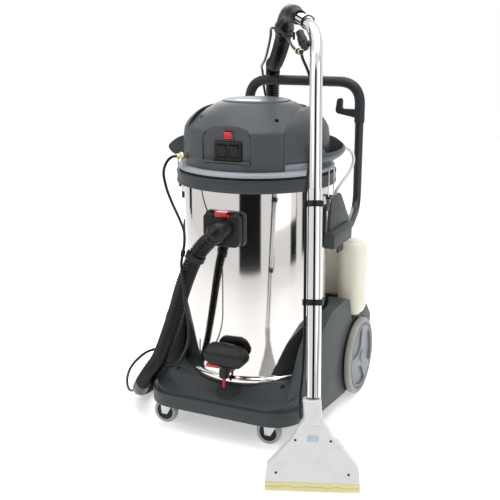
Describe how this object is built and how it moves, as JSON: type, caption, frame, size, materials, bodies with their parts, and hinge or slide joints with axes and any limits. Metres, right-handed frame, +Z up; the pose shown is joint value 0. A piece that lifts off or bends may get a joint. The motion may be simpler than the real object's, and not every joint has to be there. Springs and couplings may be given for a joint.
{
  "type": "carpet cleaner machine",
  "caption": "Upright spray extraction carpet cleaner: steel drum on a wheeled trolley, lift-off motor head, push handle, suction and solution hoses, and a floor wand standing in front.",
  "frame": {"origin": "on the floor, under the middle of the box around the machine and its wand without the free hoses", "axes": "+Z up, -Y towards the front (hose inlet and switches), +X towards the side where the wand stands"},
  "size_m": [0.8908, 1.065, 1.2567],
  "materials": {
    "trolley_plastic": "moulded, fine grain",
    "head_plastic": "moulded, satin",
    "handle_plastic": "moulded, satin",
    "black_plastic": "moulded, satin",
    "pale_grey_plastic": "moulded, satin",
    "red_plastic": "glossy",
    "natural_plastic": "blow-moulded, translucent",
    "nozzle_plastic": "translucent white",
    "drum_steel": "polished",
    "steel": "turned",
    "zinc_steel": "zinc plated",
    "chrome": "mirror polished",
    "black_tube": "satin powder coat",
    "brass": "nickel-washed brass",
    "wheel_tyre": "grey non-marking rubber",
    "wheel_hub": "moulded",
    "castor_wheel": "grey rubber",
    "hose_black": "ribbed",
    "clear_tube": "clear soft tube"
  },
  "bodies": {
    "trolley": {"trolley_base": "trolley_plastic", "rear_axle": "steel", "drum": "drum_steel", "drum_band": "trolley_plastic", "inlet_flange": "black_plastic", "hose_connector": "black_plastic", "tilt_grip": "black_plastic", "handle_leg_right": "black_tube", "handle_leg_left": "black_tube", "handle_grip": "handle_plastic", "side_bracket_right": "trolley_plastic", "side_bracket_left": "trolley_plastic", "detergent_tank": "natural_plastic", "latch_keeper_right": "zinc_steel", "latch_keeper_left": "zinc_steel", "suction_hose": "hose_black", "solution_hose_front": "hose_black", "solution_hose_long": "hose_black"},
    "wheel_right": {"wheel_tyre_right": "wheel_tyre", "wheel_hub_right": "wheel_hub"},
    "wheel_left": {"wheel_tyre_left": "wheel_tyre", "wheel_hub_left": "wheel_hub"},
    "castor_right": {"castor_fork_right": "zinc_steel"},
    "castor_left": {"castor_fork_left": "zinc_steel"},
    "castor_wheel_right": {"castor_wheel_right": "castor_wheel"},
    "castor_wheel_left": {"castor_wheel_left": "castor_wheel"},
    "catch": {"inlet_catch": "red_plastic"},
    "lock_lever": {"tilt_lever": "red_plastic"},
    "lock_bolt": {"tilt_bolt": "red_plastic"},
    "cap": {"tank_cap": "black_plastic"},
    "head": {"head_base": "pale_grey_plastic", "head_cover_front": "head_plastic", "head_cover_rear": "head_plastic", "top_disc": "head_plastic", "control_panel": "head_plastic", "switch_frame": "black_plastic", "lift_wing_right": "head_plastic", "lift_wing_left": "head_plastic", "solution_coupling": "brass", "vacuum_motor_right": "zinc_steel", "vacuum_motor_left": "zinc_steel", "solution_pump": "black_plastic", "supply_tube": "clear_tube"},
    "power_switch": {"power_rocker": "red_plastic"},
    "vacuum_switch": {"vacuum_rocker": "black_plastic"},
    "pump_switch": {"pump_rocker": "black_plastic"},
    "latch_right": {"latch_lever_right": "black_plastic"},
    "latch_left": {"latch_lever_left": "black_plastic"},
    "bail_right": {"latch_bail_right": "zinc_steel"},
    "bail_left": {"latch_bail_left": "zinc_steel"},
    "wand": {"nozzle_body": "nozzle_plastic", "nozzle_lip": "natural_plastic", "wand_lower_tube": "chrome", "wand_upper_tube": "chrome", "hose_elbow": "black_plastic", "line_clip_lower": "black_plastic", "line_clip_upper": "black_plastic", "spray_line": "hose_black", "spray_valve": "brass"},
    "trigger": {"valve_lever": "black_plastic"}
  },
  "joints": [
    {"name": "wheel_right_spin", "type": "hinge", "parent": "trolley", "child": "wheel_right", "pos_m": [0.17168, 0.27061, 0.128], "axis": [1, 0, 0], "continuous": true},
    {"name": "castor_right_swivel", "type": "hinge", "parent": "trolley", "child": "castor_right", "pos_m": [0.07868, -0.19639, 0.085], "axis": [0, 0, 1], "continuous": true},
    {"name": "castor_right_roll", "type": "hinge", "parent": "castor_right", "child": "castor_wheel_right", "pos_m": [0.05668, -0.19639, 0.0375], "axis": [0, 1, 0], "continuous": true},
    {"name": "wheel_left_spin", "type": "hinge", "parent": "trolley", "child": "wheel_left", "pos_m": [-0.36232, 0.27061, 0.128], "axis": [1, 0, 0], "continuous": true},
    {"name": "castor_left_swivel", "type": "hinge", "parent": "trolley", "child": "castor_left", "pos_m": [-0.26932, -0.19639, 0.085], "axis": [0, 0, 1], "continuous": true},
    {"name": "castor_left_roll", "type": "hinge", "parent": "castor_left", "child": "castor_wheel_left", "pos_m": [-0.29132, -0.19639, 0.0375], "axis": [0, 1, 0], "continuous": true},
    {"name": "inlet_catch_lift", "type": "hinge", "parent": "trolley", "child": "catch", "pos_m": [-0.08532, -0.19689, 0.675], "axis": [1, 0, 0], "range_deg": [-12, 0], "stiffness_Nm_per_rad": 0.6},
    {"name": "tilt_lock_squeeze", "type": "hinge", "parent": "trolley", "child": "lock_lever", "pos_m": [-0.09532, -0.21539, 0.2255], "axis": [0, 1, 0], "range_deg": [0, 8], "stiffness_Nm_per_rad": 0.8},
    {"name": "tilt_bolt_lift", "type": "slide", "parent": "trolley", "child": "lock_bolt", "axis": [0, 0, 1], "range_m": [0, 0.013]},
    {"name": "tank_cap_turn", "type": "hinge", "parent": "trolley", "child": "cap", "pos_m": [-0.09532, 0.34561, 0.54], "axis": [0, 0, 1], "range_deg": [0, 270]},
    {"name": "head_lift", "type": "slide", "parent": "trolley", "child": "head", "axis": [0, 0, 1], "range_m": [0, 0.08]},
    {"name": "power_rocker_tip", "type": "hinge", "parent": "head", "child": "power_switch", "pos_m": [-0.10932, -0.15539, 0.906], "axis": [1, 0, 0], "range_deg": [-10, 0]},
    {"name": "vacuum_rocker_tip", "type": "hinge", "parent": "head", "child": "vacuum_switch", "pos_m": [-0.12732, -0.15639, 0.862], "axis": [1, 0, 0], "range_deg": [-10, 0]},
    {"name": "pump_rocker_tip", "type": "hinge", "parent": "head", "child": "pump_switch", "pos_m": [-0.09132, -0.15639, 0.862], "axis": [1, 0, 0], "range_deg": [-10, 0]},
    {"name": "latch_right_throw", "type": "hinge", "parent": "trolley", "child": "latch_right", "pos_m": [0.14137, 0.02073, 0.706], "axis": [0.1045, 0.9945, 0], "range_deg": [-80, 0]},
    {"name": "bail_right_swing", "type": "hinge", "parent": "latch_right", "child": "bail_right", "pos_m": [0.15529, 0.01927, 0.712], "axis": [0.1045, 0.9945, 0], "range_deg": [0, 112]},
    {"name": "latch_left_throw", "type": "hinge", "parent": "trolley", "child": "latch_left", "pos_m": [-0.33202, 0.02073, 0.706], "axis": [-0.1045, 0.9945, 0], "range_deg": [0, 80]},
    {"name": "bail_left_swing", "type": "hinge", "parent": "latch_left", "child": "bail_left", "pos_m": [-0.34594, 0.01927, 0.712], "axis": [-0.1045, 0.9945, 0], "range_deg": [-112, 0]},
    {"name": "wand_lift", "type": "slide", "parent": "trolley", "child": "wand", "axis": [0, 0, 1], "range_m": [0, 0.12]},
    {"name": "trigger_squeeze", "type": "hinge", "parent": "wand", "child": "trigger", "pos_m": [0.08568, -0.11439, 1.168], "axis": [0, 0, 1], "range_deg": [0, 15], "stiffness_Nm_per_rad": 0.5}
  ],
  "couplings": [
    {"joint": "tilt_bolt_lift", "follows": "tilt_lock_squeeze", "m_per_rad": 0.088},
    {"joint": "bail_right_swing", "follows": "latch_right_throw", "ratio": -1.375},
    {"joint": "bail_left_swing", "follows": "latch_left_throw", "ratio": -1.375}
  ]
}
